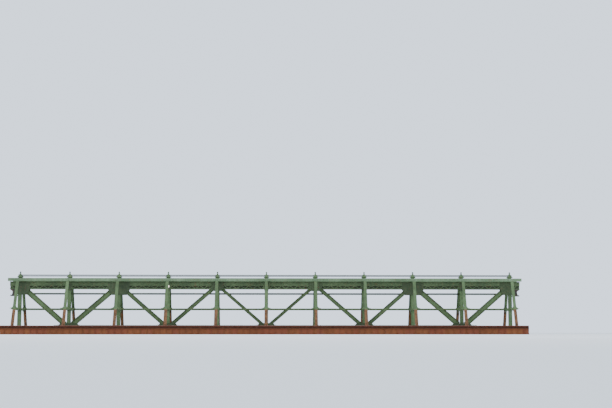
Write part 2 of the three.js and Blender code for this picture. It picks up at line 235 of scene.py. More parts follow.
# Colours of what lies on the steel, linear
GRIME = (0.052, 0.052, 0.034)
RUST_RUN = (0.135, 0.066, 0.030)
RUST_SPOT = (0.140, 0.056, 0.024)
SOOT = (0.088, 0.076, 0.052)
DUST_DARK = (0.100, 0.046, 0.018)
DUST_LIGHT = (0.205, 0.094, 0.040)
DUST_STREAK = (0.28, 0.150, 0.075)
DUST_RED = (0.190, 0.052, 0.030)
DUST_STAIN = (0.055, 0.040, 0.032)
DUST_ON_TOP = (0.120, 0.066, 0.038)


def weathered_green(name, light, dark, dust_below=None):
    """Old oil paint: chalky patches, rain streaks, rust runs and freckles, soot on top."""
    f = Finish(name)
    clouds = f.noise(0.9, 4.0)
    patches = f.noise(7.0, 5.0, 0.6)
    streaks = f.noise(1.0, 4.0, 0.6, f.stretched(14.0, 14.0, 0.9))
    runs = f.noise(1.0, 3.0, 0.6, f.stretched(38.0, 38.0, 1.6))
    grain = f.noise(130.0, 2.0)
    upward = f.upward()
    tone = (clouds * 0.55 + patches * 0.25 + streaks * 0.35).over(0.42, 0.72)
    colour = f.mix(tone, dark, light)
    chalk = tuple(0.04 + 1.15 * part for part in light)
    colour = f.mix((clouds * 0.6 + patches * 0.4).over(0.54, 0.68) * 0.45, colour, chalk)
    colour = f.mix(streaks.over(0.54, 0.72) * 0.55, colour, GRIME)
    bleed = runs.over(0.56, 0.66) * patches.over(0.46, 0.58)
    colour = f.mix(bleed * 0.55, colour, RUST_RUN)
    freckles = (patches * 0.6 + grain * 0.4).over(0.59, 0.65)
    colour = f.mix(freckles * 0.85, colour, RUST_SPOT)
    soot = upward.over(0.6, 0.95) * (0.35 + patches * 0.5)
    colour = f.mix(soot.clamped(), colour, SOOT)
    if dust_below is not None:
        dust = 1.0 - (f.height() + streaks * 0.10).over(dust_below, dust_below + 0.09)
        brown = f.mix(patches.over(0.35, 0.65), DUST_DARK, DUST_LIGHT)
        brown = f.mix(streaks.over(0.5, 0.8) * 0.6, brown, DUST_STREAK)
        colour = f.mix(dust, colour, brown)
        freckles = freckles + dust * 0.5
    rough = (0.54 + tone * 0.12 + freckles * 0.25 + soot * 0.2).clamped()
    return f.done(colour, rough, f.bump(grain * 0.5 + patches, 0.35, 0.004),
                  Specular_IOR_Level=0.28)


def iron_dust(name, light, mid, dark):
    """Paint under years of brown iron dust, with runs down the plates."""
    f = Finish(name)
    clouds = f.noise(0.6, 4.0)
    runs = f.noise(1.0, 5.0, 0.65, f.stretched(9.0, 9.0, 0.7))
    bays = f.noise(1.0, 1.0, 0.5, f.stretched(1.3, 0.2, 0.2))
    patches = f.noise(11.0, 5.0, 0.6)
    grain = f.noise(150.0, 2.0)
    colour = f.mix((clouds * 0.5 + runs * 0.5).over(0.40, 0.62), mid, light)
    colour = f.mix(bays.over(0.48, 0.60) * 0.55, colour, DUST_RED)
    colour = f.mix(runs.over(0.52, 0.72) * 0.7, colour, dark)
    colour = f.mix(patches.over(0.58, 0.72) * 0.5, colour, DUST_STAIN)
    colour = f.mix(f.upward().over(0.6, 0.95) * 0.5, colour, DUST_ON_TOP)
    rough = (0.74 + patches * 0.2).clamped()
    return f.done(colour, rough, f.bump(grain * 0.6 + patches, 0.5, 0.005), Specular_IOR_Level=0.2)


def worn_rail(name):
    """Rusty rail: red-brown head, web and foot darker as painted shade under the head, bright running
    surface.
    """
    f = Finish(name)
    patches = f.noise(16.0, 5.0, 0.6)
    runs = f.noise(1.0, 4.0, 0.6, f.stretched(3.0, 14.0, 14.0))
    grain = f.noise(180.0, 2.0)
    head = f.mix(patches.over(0.4, 0.65), (0.105, 0.034, 0.022), (0.160, 0.054, 0.034))
    # web and foot are darker than the head: painted shade under the rail head
    web = f.mix(patches.over(0.4, 0.65), (0.040, 0.013, 0.006), (0.078, 0.028, 0.014))
    side = f.mix((f.height() + runs * 0.01).over(0.455, 0.480), web, head)
    polish = (f.height() + runs * 0.004).over(0.5215, 0.5245)
    bright = f.mix(runs.over(0.35, 0.7), (0.24, 0.22, 0.21), (0.40, 0.38, 0.37))
    colour = f.mix(polish, side, bright)
    rough = (0.78 - polish * 0.48 + patches * 0.08).clamped()
    return f.done(colour, rough, f.bump(grain * 0.4 + patches, 0.3, 0.003), polish * 0.9,
                  Specular_IOR_Level=0.15)


def greased_iron(name):
    """Dark cast iron with grease on it and rust coming through."""
    f = Finish(name)
    patches = f.noise(20.0, 4.0, 0.6)
    grain = f.noise(220.0, 3.0)
    colour = f.mix(patches.over(0.35, 0.7), (0.036, 0.033, 0.028), (0.090, 0.078, 0.062))
    colour = f.mix(f.noise(7.0, 5.0).over(0.50, 0.62) * 0.75, colour, (0.150, 0.060, 0.028))
    rough = (0.50 + patches * 0.3).clamped()
    return f.done(colour, rough, f.bump(grain, 0.35, 0.002), 0.2, Specular_IOR_Level=0.3)


def opal_glass(name):
    """Milky glass, faintly lit from inside."""
    f = Finish(name)
    haze = f.noise(30.0, 4.0)
    colour = f.mix(haze.over(0.4, 0.7), (0.80, 0.79, 0.73), (0.62, 0.61, 0.54))
    rough = 0.18 + haze * 0.2
    return f.done(colour, rough, f.bump(haze, 0.05, 0.002), Subsurface_Weight=0.1,
                  Coat_Weight=0.4, Emission_Color=(1.0, 0.93, 0.80, 1.0),
                  Emission_Strength=2.2)


def cable_black(name):
    """Black sheath, greyed in patches."""
    f = Finish(name)
    patches = f.noise(25.0, 3.0)
    colour = f.mix(patches.over(0.4, 0.7), (0.016, 0.022, 0.030), (0.045, 0.055, 0.065))
    return f.done(colour, 0.6 + patches * 0.2, f.bump(f.noise(300.0), 0.2, 0.001))


def pale_floor(name):
    """Even pale studio floor."""
    f = Finish(name)
    tone = f.noise(0.05, 3.0)
    colour = f.mix(tone.over(0.3, 0.7), (0.80, 0.80, 0.79), (0.84, 0.84, 0.83))
    return f.done(colour, 0.9 + tone * 0.05, f.bump(f.noise(4.0), 0.02, 0.01))


# Lit copy of the green paint, for the upper edge channels, their rivets and the flat braces on top:
# painted light
GREEN_WITH_PAINTED_LIGHT = weathered_green("green_paint_with_painted_light", (0.146, 0.226, 0.118), (0.082, 0.134, 0.062))
# Darker copy of the green paint for both centre chords and their rivets: painted shade
CHORD_GREEN_PAINTED_SHADE = weathered_green("chord_green_paint_painted_shade", (0.098, 0.145, 0.060), (0.048, 0.078, 0.031))
SHADE_GREEN = weathered_green("shaded_green_paint", (0.090, 0.134, 0.047), (0.050, 0.078, 0.026))
LEAF_GREEN = weathered_green("leaf_green_paint", (0.112, 0.180, 0.073), (0.060, 0.098, 0.037))
# Darkest copy of the green paint, for the chord's inner web, the centre longitudinal with its clips
# and the ridge rod: painted shade
GREEN_DEEP_PAINTED_SHADE = weathered_green("green_paint_deep_painted_shade", (0.046, 0.066, 0.026), (0.022, 0.034, 0.012))
# Dark copy of the green paint for the node plates and their rivets: painted shade
PLATE_GREEN_PAINTED_SHADE = weathered_green("plate_green_paint_painted_shade", (0.060, 0.087, 0.036), (0.031, 0.048, 0.019))
FRAME_GREEN = weathered_green("frame_green_paint", (0.112, 0.180, 0.073), (0.060, 0.098, 0.037),
                              dust_below=1.49)
BROWN = iron_dust("brown_iron_dust", (0.232, 0.082, 0.031), (0.158, 0.054, 0.022),
                  (0.118, 0.040, 0.021))
RAIL = worn_rail("running_rail")
IRON = greased_iron("greased_cast_iron")
OPAL = opal_glass("opal_lamp_glass")
CABLE = cable_black("cable_sheath")


# Mesh building
class Steelwork:
    """Collects the bars and plates of one piece."""

    def __init__(self):
        self.bm = bmesh.new()

    def skin(self, outlines):
        """Closed solid through outlines of equally many points; gives its vertices."""
        rings = [[self.bm.verts.new(point) for point in outline] for outline in outlines]
        self.bm.faces.new(rings[0])
        self.bm.faces.new(rings[-1][::-1])
        for low, high in zip(rings, rings[1:]):
            for i in range(len(low)):
                j = (i + 1) % len(low)
                self.bm.faces.new((low[i], high[i], high[j], low[j]))
        return [v for ring in rings for v in ring]

    def prism(self, outline, axis, start, end):
        """Closed outline of (u, v) pushed along an axis: x uses (y, z), y uses (x, z), z (x, y)."""
        place = {
            "x": lambda u, v, w: (w, u, v),
            "y": lambda u, v, w: (u, w, v),
            "z": lambda u, v, w: (u, v, w),
        }[axis]
        self.skin([[place(u, v, w) for u, v in outline] for w in (start, end)])

    def block(self, x, y, z):
        """Box from its two limits along each axis, in any order."""
        self.prism([(x[0], z[0]), (x[1], z[0]), (x[1], z[1]), (x[0], z[1])], "y", *y)

    def angle(self, corner, reach, thick, ends):
        """Rolled angle along X. corner is (y, z), reach the legs' signed lengths along y and z,
        thick the thickness of the upright leg and of the flat one."""
        y, z = corner
        u, v = reach
        upright = y + math.copysign(thick[0], u)
        flat = z + math.copysign(thick[1], v)
        self.prism([(y, z), (y + u, z), (y + u, flat), (upright, flat), (upright, z + v), (y, z + v)],
                   "x", *ends)

    def bar(self, a, b, half_x, half_n, across=(1.0, 0.0, 0.0), shift=0.0):
        """Rectangular bar from a to b. across gives the first half width's direction, and that
        half width may be a pair, for a bar that tapers from a to b."""
        a, b, across = Vector(a), Vector(b), Vector(across)
        along = (b - a).normalized()
        normal = along.cross(across).normalized()
        widths = half_x if isinstance(half_x, tuple) else (half_x, half_x)
        corners = ((-1, -1), (1, -1), (1, 1), (-1, 1))
        return self.skin([
            [p + normal * shift + across * wide * sx + normal * half_n * sn for sx, sn in corners]
            for p, wide in zip((a, b), widths)])

    def turned(self, profile, centre, sides, axis="z"):
        """Closed solid of revolution from (radius, height) pairs that start and end on the axis."""
        place = {
            "x": lambda c, s, h: (h, c, s),
            "y": lambda c, s, h: (c, h, s),
            "z": lambda c, s, h: (c, s, h),
        }[axis]
        turns = [2 * math.pi * k / sides for k in range(sides)]
        rings = []
        for radius, height in profile:
            spokes = turns if radius else [0.0]
            rings.append([
                self.bm.verts.new(Vector(centre) + Vector(
                    place(radius * math.cos(turn), radius * math.sin(turn), height)))
                for turn in spokes])
        for low, high in zip(rings, rings[1:]):
            for k in range(sides):
                n = (k + 1) % sides
                if len(low) == 1:
                    self.bm.faces.new((low[0], high[k], high[n]))
                elif len(high) == 1:
                    self.bm.faces.new((low[k], low[n], high[0]))
                else:
                    self.bm.faces.new((low[k], low[n], high[n], high[k]))

    def cut(self, verts, point, normal):
        """Cuts the solid of these vertices with a plane and caps it; the normal side goes."""
        edges = {e for v in verts for e in v.link_edges}
        faces = {f for v in verts for f in v.link_faces}
        result = bmesh.ops.bisect_plane(
            self.bm, geom=[*verts, *edges, *faces], plane_co=point, plane_no=normal,
            clear_outer=True)
        rim = [e for e in result["geom_cut"] if isinstance(e, bmesh.types.BMEdge)]
        if rim:
            bmesh.ops.holes_fill(self.bm, edges=rim, sides=0)
        new = {v for v in result["geom_cut"] if isinstance(v, bmesh.types.BMVert)}
        return [v for v in {*verts} | new if v.is_valid]

    def piece(self, name, material, smooth=False):
        bmesh.ops.recalc_face_normals(self.bm, faces=self.bm.faces)
        mesh = bpy.data.meshes.new(name)
        self.bm.to_mesh(mesh)
        self.bm.free()
        for polygon in mesh.polygons:
            polygon.use_smooth = smooth
        return place_piece(name, mesh, material)


def place_piece(name, mesh, material):
    made = bpy.data.objects.new(name, mesh)
    bpy.context.scene.collection.objects.link(made)
    mesh.materials.clear()
    mesh.materials.append(material)
    return made


def join(name, pieces):
    """Makes one object of several, keeping the first one's material."""
    bm = bmesh.new()
    for piece in pieces:
        bm.from_mesh(piece.data)
    mesh = bpy.data.meshes.new(name)
    bm.to_mesh(mesh)
    bm.free()
    material = pieces[0].data.materials[0]
    for piece in pieces:
        bpy.data.objects.remove(piece)
    return place_piece(name, mesh, material)


def fit(piece, body="span", replaced=()):
    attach(piece, body)
    if replaced:
        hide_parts(*replaced)


# Repeats along lines
class Pattern:
    """A geometry tree that sets a small solid at even steps along the edges it is given."""

    def __init__(self, name, inputs):
        self.tree = bpy.data.node_groups.new(name, "GeometryNodeTree")
        face = self.tree.interface
        face.new_socket("Geometry", in_out="INPUT", socket_type="NodeSocketGeometry")
        self.ids = {}
        for label, kind in inputs:
            self.ids[label] = face.new_socket(label, in_out="INPUT", socket_type=kind).identifier
        face.new_socket("Geometry", in_out="OUTPUT", socket_type="NodeSocketGeometry")
        self.source = self.tree.nodes.new("NodeGroupInput")
        self.sink = self.tree.nodes.new("NodeGroupOutput")

    def node(self, kind, settings=None, **values):
        made = self.tree.nodes.new(kind)
        for key, value in (settings or {}).items():
            setattr(made, key, value)
        for key, value in values.items():
            socket = made.inputs[key.replace("_", " ")]
            if isinstance(value, bpy.types.NodeSocket):
                self.tree.links.new(value, socket)
            else:
                socket.default_value = value
        return made

    def given(self, label):
        return self.source.outputs[label]

    def end(self, geometry):
        real = self.node("GeometryNodeRealizeInstances", Geometry=geometry)
        coat = self.node("GeometryNodeSetMaterial", Geometry=real.outputs["Geometry"],
                         Material=self.given("Material"))
        self.tree.links.new(coat.outputs["Geometry"], self.sink.inputs["Geometry"])

    def stations(self):
        line = self.node("GeometryNodeMeshToCurve", Mesh=self.given("Geometry"))
        steps = self.node("GeometryNodeCurveToPoints", {"mode": "LENGTH"},
                          Curve=line.outputs["Curve"], Length=self.given("Spacing"))
        return steps.outputs["Points"]

    def grow(self, name, rows, material, **values):
        """Runs the tree on a mesh of straight edges and keeps the plain result."""
        mesh = bpy.data.meshes.new(name + "_rows")
        points = [point for ends in rows for point in ends]
        mesh.from_pydata(points, [(2 * i, 2 * i + 1) for i in range(len(rows))], [])
        carrier = place_piece(name, mesh, material)
        modifier = carrier.modifiers.new("repeat", "NODES")
        modifier.node_group = self.tree
        modifier[self.ids["Material"]] = material
        for label, value in values.items():
            modifier[self.ids[label]] = value
        graph = bpy.context.evaluated_depsgraph_get()
        graph.update()
        plain = bpy.data.meshes.new_from_object(carrier.evaluated_get(graph))
        carrier.modifiers.clear()
        plain.materials.clear()
        plain.materials.append(material)
        for polygon in plain.polygons:
            polygon.material_index = 0
        carrier.data = plain
        return carrier


def rivet_pattern():
    """Round heads, stretched to the size that is asked for."""
    p = Pattern("rivet_rows", (("Spacing", "NodeSocketFloat"), ("Head", "NodeSocketVector"),
                               ("Material", "NodeSocketMaterial")))
    head = p.node("GeometryNodeMeshUVSphere", Segments=8, Rings=4, Radius=0.5)
    soft = p.node("GeometryNodeSetShadeSmooth", Geometry=head.outputs["Mesh"])
    set_on = p.node("GeometryNodeInstanceOnPoints", Points=p.stations(),
                    Instance=soft.outputs["Geometry"], Scale=p.given("Head"))
    p.end(set_on.outputs["Instances"])
    return p


def block_pattern():
    """Small plates of a stated size, such as stiffener legs and clips."""
    p = Pattern("plates_in_rows", (("Spacing", "NodeSocketFloat"), ("Size", "NodeSocketVector"),
                                   ("Material", "NodeSocketMaterial")))
    plate = p.node("GeometryNodeMeshCube", Size=p.given("Size"))
    set_on = p.node("GeometryNodeInstanceOnPoints", Points=p.stations(),
                    Instance=plate.outputs["Mesh"])
    p.end(set_on.outputs["Instances"])
    return p


RIVETS = rivet_pattern()
PLATES = block_pattern()


def row(x, y, z):
    """Ends of a straight line along the axis whose limits are given as a pair."""
    limits = [v if isinstance(v, tuple) else (v, v) for v in (x, y, z)]
    return tuple(zip(*limits))


def rows_along(x, ys, zs):
    return [row(x, y, z) for y in ys for z in zs]


def rivets(name, rows, material, spacing, wide, deep, through="y"):
    """Heads this wide on a face whose normal runs along the axis through; deep is their depth."""
    head = tuple(deep if axis == through else wide for axis in "xyz")
    return RIVETS.grow(name, rows, material, Spacing=spacing, Head=head)


# Rail girders and rails
GIRDER_SPLICES = (-10.5, 0.0, 10.5)
RAIL_JOINTS = (-7.5, 7.5)
STIFF_STEP = 0.375             # distance between the web stiffeners
CLIP_STEP = 0.1875             # distance between the rail clips
FISH_FACE = 0.024              # outer face of a fishplate, from the rail's middle plane
RAIL_PLATE = 0.012             # thickness of the girder's flanges
RAIL_WEB = 0.007               # half thickness of its web
RAIL_ANGLE = 0.011             # thickness of its corner angles
ANGLE_FACE = RAIL_WEB + RAIL_ANGLE
SPLICE_FACE = ANGLE_FACE + 0.012


def rail_girder_plates(label, y):
    """Web, flanges, corner angles and splice plates."""
    low, high = RAIL_PLATE, RAIL_TOP - RAIL_PLATE
    s = Steelwork()
    s.block(ALONG, about(y, RAIL_WEB), (low, high))
    for z in ((0.0, low), (high, RAIL_TOP)):
        s.block(ALONG, about(y, RAIL_HALF), z)
    for t in BOTH:
        for z, up in ((low, 1), (high, -1)):
            s.angle((y + t * RAIL_WEB, z), (t * 0.061, up * 0.080), (RAIL_ANGLE, RAIL_ANGLE), ALONG)
        for x in GIRDER_SPLICES:
            s.block(about(x, 0.165), (y + t * ANGLE_FACE, y + t * SPLICE_FACE), (0.036, 0.304))
    fit(s.piece(f"rail_girder_plates_{label}", BROWN), replaced=[f"rail_girder_{label}"])


def rail_girder_stiffeners(label, y):
    """Angles across the web: one leg stands out, the foot lies against the web."""
    first = -END + 0.300
    last = -first + 0.001
    foot_off = 0.024
    middle = [RAIL_TOP / 2]
    legs, feet = [], []
    for t in BOTH:
        legs += rows_along((first, last), [y + t * 0.043], middle)
        feet += rows_along((first + foot_off, last + foot_off), [y + t * 0.0125], middle)
    legs = PLATES.grow("legs", legs, BROWN, Spacing=STIFF_STEP, Size=(0.010, 0.050, 0.270))
    feet = PLATES.grow("feet", feet, BROWN, Spacing=STIFF_STEP, Size=(0.048, 0.011, 0.152))
    fit(join(f"rail_girder_stiffeners_{label}", [legs, feet]))


def rail_girder_rivets(label, y):
    """Rows along the corner angles and on the splice plates."""
    rows = rows_along(about(0, END - 0.06), about(y, ANGLE_FACE + SEAT), (0.052, 0.288))
    corners = rivets("corners", rows, BROWN, 0.125, 0.030, 0.022)
    rows = []
    for t in BOTH:
        for x in GIRDER_SPLICES:
            for dx in (-0.13, -0.06, 0.06, 0.13):
                rows.append(row(x + dx, y + t * SPLICE_FACE, (0.09, 0.25)))
    splices = rivets("splices", rows, BROWN, 0.053, 0.030, 0.022)
    fit(join(f"rail_girder_rivets_{label}", [corners, splices]))


def running_rail(label, y):
    """Flat-bottomed rail with fishplates at its joints."""
    foot, head = RAIL_TOP, RAIL_HEAD_TOP
    half = [
        (0.070, foot + GAP), (0.070, foot + 0.012), (0.046, foot + 0.020),
        (0.016, foot + 0.034), (0.009, foot + 0.050), (0.009, head - 0.066),
        (0.016, head - 0.054), (0.034, head - 0.046), (0.036, head - 0.040),
        (0.036, head - 0.010), (0.031, head - 0.003), (0.020, head),
    ]
    s = Steelwork()
    s.prism([(y + u, v) for u, v in half] + [(y - u, v) for u, v in reversed(half)], "x", *ALONG)
    for x in RAIL_JOINTS:
        for t in BOTH:
            s.block(about(x, 0.30), (y + t * 0.009, y + t * FISH_FACE), (0.392, 0.458))
    fit(s.piece(f"rail_profile_{label}", RAIL), replaced=[f"rail_{label}"])


def rail_clips(label, y):
    """Clips on the rail's foot with their nuts, and bolts through the fishplates."""
    ends = about(0, END - 0.15)
    sides = about(y, 0.060)
    # The clips, nuts and fishplate bolts sit low on the rail and take its painted shade
    clips = PLATES.grow("clips", rows_along(ends, sides, [RAIL_TOP + 0.0135]), RAIL,
                        Spacing=CLIP_STEP, Size=(0.090, 0.026, 0.026))
    nuts = RIVETS.grow("nuts", rows_along(ends, sides, [RAIL_TOP + 0.030]), RAIL,
                       Spacing=CLIP_STEP, Head=(0.030, 0.022, 0.034))
    rows = []
    for t in BOTH:
        for x in RAIL_JOINTS:
            rows.append(row((x - 0.24, x + 0.245), y + t * (FISH_FACE + SEAT), 0.425))
    bolts = rivets("bolts", rows, RAIL, 0.096, 0.036, 0.028)
    fit(join(f"rail_clips_{label}", [clips, nuts, bolts]))


for label, y in (("near", -RAIL_Y), ("far", RAIL_Y)):
    for part in (rail_girder_plates, rail_girder_stiffeners, rail_girder_rivets, running_rail,
                 rail_clips):
        part(label, y)


# Centre chords
CHORD_SPLICES = (-10.5, 0.75, 10.5)
COVER = 0.012                  # thickness of the cover plates
LACE_STEP = 0.250              # half a turn of the lacing
LACE_Z = (2.800, 2.945)        # laced strip of the upper chord's webs
LACE_START = -END + 0.030
LACE_COUNT = 124
WALL_Y = (0.070, 0.082)        # faces of the upper chord's web plates
SPLICE_HALF = 0.30             # half length of its splice plates


def lacing(s, t):
    """Zigzag on one face; bars that fall to the right lie over those that rise."""
    turns = (LACE_Z[1] + 0.020, LACE_Z[0] - 0.020)
    for k in range(LACE_COUNT):
        x = LACE_START + k * LACE_STEP
        y = t * (0.0970 if k % 2 == 0 else 0.0918)
        s.bar((x, y, turns[k % 2]), (x + LACE_STEP, y, turns[1 - k % 2]), 0.0025, 0.022,
              across=(0, 1, 0))


def upper_chord_plates():
    """Cover plate over laced walls, with battens at the cross frames and splices between them."""
    z0, z1 = TOP_Z
    under = z1 - COVER
    # The inner web plate takes the darkest green: painted shade inside the chord
    core = Steelwork()
    core.block(ALONG, about(0, 0.006), (z0 + 2 * COVER, under))
    fit(core.piece("upper_chord_core", GREEN_DEEP_PAINTED_SHADE))
    s = Steelwork()
    s.block(ALONG, about(0, 0.170), (under, z1))
    for x in CHORD_SPLICES:
        s.block(about(x, SPLICE_HALF), about(0, 0.160), (z1 - 0.022, z1 - 0.011))
    for t in BOTH:
        # web plate with a strap, upper angle, lower angle that the lacing starts from
        inner, outer, face = t * WALL_Y[0], t * WALL_Y[1], t * CHORD_HALF
        s.block(ALONG, (inner, outer), (LACE_Z[1], under))
        s.block(ALONG, (outer, face), (LACE_Z[1], LACE_Z[1] + 0.060))
        s.angle((outer, under), (t * 0.068, -0.078), (0.008, 0.011), ALONG)
        s.angle((face, z0), (-t * 0.060, LACE_Z[0] - z0), (0.012, 0.012), ALONG)
        lacing(s, t)
        for i in PANELS:
            s.block(about(i * PANEL, 0.20), (t * 0.0825, t * 0.0890), (2.75, 2.99))
        for x in CHORD_SPLICES:
            s.block(about(x, SPLICE_HALF), (t * 0.0818, face), (3.006, 3.112))
    fit(s.piece("upper_chord_plates", CHORD_GREEN_PAINTED_SHADE), replaced=["upper_chord"])


def upper_chord_rivets():
    """Rows along the upper angles and under the cover plate, lacing ends, splices."""
    rows = rows_along(about(0, END - 0.03), about(0, CHORD_HALF + 0.001), [3.140])
    walls = rivets("walls", rows, CHORD_GREEN_PAINTED_SHADE, 0.115, 0.028, 0.020)
    rows = rows_along(about(0, END - 0.05), about(0, 0.128), [TOP_Z[1] - 0.023 - SEAT])
    cover = rivets("cover", rows, CHORD_GREEN_PAINTED_SHADE, 0.115, 0.028, 0.018, "z")
    rows = []
    for first, z in ((0, LACE_Z[1] + 0.018), (1, LACE_Z[0] - 0.018)):
        x = LACE_START + first * LACE_STEP
        length = (LACE_COUNT - 2 * first) * LACE_STEP
        rows += rows_along((x, x + length), about(0, 0.099), [z])
    ties = rivets("ties", rows, CHORD_GREEN_PAINTED_SHADE, 2 * LACE_STEP, 0.034, 0.018)
    rows = []
    for x in CHORD_SPLICES:
        for dx in (-0.25, -0.17, -0.09, 0.09, 0.17, 0.25):
            for t in BOTH:
                rows.append(row(x + dx, t * (CHORD_HALF + 0.001), (3.02, 3.10)))
    splices = rivets("splices", rows, CHORD_GREEN_PAINTED_SHADE, 0.075, 0.028, 0.020)
    fit(join("upper_chord_rivets", [walls, cover, ties, splices]))


def lower_chord():
    """Two plated walls with angles, cover plates above and below, closed at both ends."""
    z0, z1 = LOW_Z
    low, high = z0 + COVER, z1 - COVER
    along = about(0, LOW_END)
    inner, outer = 0.070, 0.080    # faces of its walls
    s = Steelwork()
    for z in ((z0, low), (high, z1)):
        s.block(along, about(0, CHORD_HALF), z)
    for t in BOTH:
        s.block(along, (t * inner, t * outer), (low, high))
        for edge, up in ((low, 1), (high, -1)):
            s.block(along, (t * outer, t * 0.089), (edge, edge + up * 0.080))
        for x in (-8.0, -2.6, 2.6, 8.0):
            s.block(about(x, 0.24), (t * outer, t * 0.088), (z0 + 0.096, z1 - 0.096))
        s.block((t * LOW_END, t * (LOW_END - COVER)), about(0, 0.085), (z0 + 0.006, z1 - 0.006))
    fit(s.piece("lower_chord_plates", CHORD_GREEN_PAINTED_SHADE), replaced=["lower_chord"])

    ends = about(0, LOW_END - 0.05)
    rows = rows_along(ends, about(0, CHORD_HALF), (z0 + 0.052, z1 - 0.052))
    walls = rivets("walls", rows, CHORD_GREEN_PAINTED_SHADE, 0.125, 0.030, 0.022)
    rows = rows_along(ends, about(0, 0.052), [z1 + SEAT])
    cover = rivets("cover", rows, CHORD_GREEN_PAINTED_SHADE, 0.125, 0.030, 0.020, "z")
    fit(join("lower_chord_rivets", [walls, cover]))


upper_chord_plates()
upper_chord_rivets()
lower_chord()


# Diagonals
def diagonal(label, low, high, half, webs):
    """Edge flanges and angles of one diagonal; its plate goes into the shared web piece. Gives
    the rows of its rivets."""
    a = Vector((low * PANEL, 0.0, SYS_LOW))
    b = Vector((high * PANEL, 0.0, SYS_TOP))
    x0, x1 = sorted((low * PANEL, high * PANEL))
    stop = POST_X + 0.03
    limits = (
        ((x0 + stop, 0, 0), (-1, 0, 0)),
        ((x1 - stop, 0, 0), (1, 0, 0)),
        ((0, 0, LOW_Z[1] + 0.002), (0, 0, -1)),
        ((0, 0, TOP_Z[0] - 0.002), (0, 0, 1)),
    )
    s = Steelwork()
    # steelwork, place across the span, half width across it, half depth, shift from the middle
    bars = [(webs, 0.0, 0.006, half - 0.014, 0.0)]
    for t in BOTH:
        bars.append((s, 0.0, 0.084, 0.0065, t * (half - 0.0065)))
        for u in BOTH:
            bars.append((s, u * 0.0105, 0.0045, 0.036, t * (half - 0.049)))
    for steel, y, wide, deep, shift in bars:
        off = Vector((0, y, 0))
        verts = steel.bar(a + off, b + off, wide, deep, across=(0, 1, 0), shift=shift)
        for point, away in limits:
            verts = steel.cut(verts, point, away)
    # The flanges take the shaded green and the shared web the plain leaf green: painted shade on the
    # edges, a lighter middle
    fit(s.piece(f"diagonal_bar_{label}", SHADE_GREEN), replaced=[f"diagonal_{label}"])

    reach = (b - a).length
    along = (b - a).normalized()
    normal = along.cross(Vector((0, 1, 0))).normalized()
    start, end = 0.34 * reach - 0.62, reach - 0.42
    rows = []
    for t in BOTH:
        for u in BOTH:
            off = normal * t * (half - 0.045) + Vector((0, u * 0.0155, 0))
            rows.append((a + along * start + off, a + along * end + off))
    return rows


rows = []
webs = Steelwork()
for entry in DIAGONALS:
    rows += diagonal(*entry, webs)
fit(webs.piece("diagonal_webs", LEAF_GREEN))
fit(rivets("diagonal_rivets", rows, SHADE_GREEN, 0.120, 0.030, 0.020))


# Cross frames
BEAM_PLATE = 0.012             # thickness of a floor beam's flanges
BEAM_WEB = 0.007               # half thickness of its web
BEAM_FACE = 0.016              # outer face of the angles on it, from the frame's middle plane
TIE_HALF = 0.075               # half depth of a cross tie
TIE_WEB = 0.004                # half thickness of its plate
TIE_FACE = 0.012               # outer face of the angles on it
PLATE_X = (0.0165, 0.0255)     # faces of the knee and foot plates
KNEE_IN = 0.95                 # inner end of a knee plate at the cross tie
LEG_DEEP = 0.060               # half depth of a leg across the span
LEG_FLANGE = 0.005             # half thickness of its flanges
BRACKET_REACH = 0.275          # of a curved bracket, along the side longitudinal
BRACKET_CURVE = 0.200          # radius of its hollow sides
STUB_X = POST_X + 0.02         # half width of a plate that only takes the post
TOP_PLATE_EDGE = TOP_Z[1] - 0.060  # upper edge of the node plates on the upper chord
BRACE_END = 0.035              # gusset of a lower brace, from the frame's middle plane


def leg_y(z):
    """Distance of a leg's centre line from the middle plane at height z."""
    share = (z - LEG_LOW[1]) / (LEG_TOP[1] - LEG_LOW[1])
    return LEG_LOW[0] + (LEG_TOP[0] - LEG_LOW[0]) * share


def spread_leg(s, x, t):
    """Flanges and angles along both edges of a rib, cut off under the edge channel."""
    a = Vector((x, t * LEG_LOW[0], LEG_LOW[1]))
    b = Vector((x, t * LEG_TOP[0], LEG_TOP[1]))
    edge = LEG_DEEP - LEG_FLANGE
    # place along the span, half width along it, half depth, shift outwards
    bars = [
        (0, LEG_X, LEG_FLANGE, edge),
        (0, 0.006, edge + 0.001, 0.0),
        (0, LEG_INNER, LEG_FLANGE, -edge),
        (0, LEG_ANGLE, 0.0035, 0.0465),
        (0, LEG_ANGLE, 0.0035, -0.0465),
    ]
    for u in BOTH:
        bars += [(u * 0.0095, 0.0035, 0.024, 0.024), (u * 0.0095, 0.0035, 0.024, -0.024)]
    for place, wide, deep, shift in bars:
        off = Vector((place, 0, 0))
        verts = s.bar(a + off, b + off, wide, deep, shift=t * shift)
        s.cut(verts, (0, 0, EDGE_Z[0] - 0.002), (0, 0, 1))


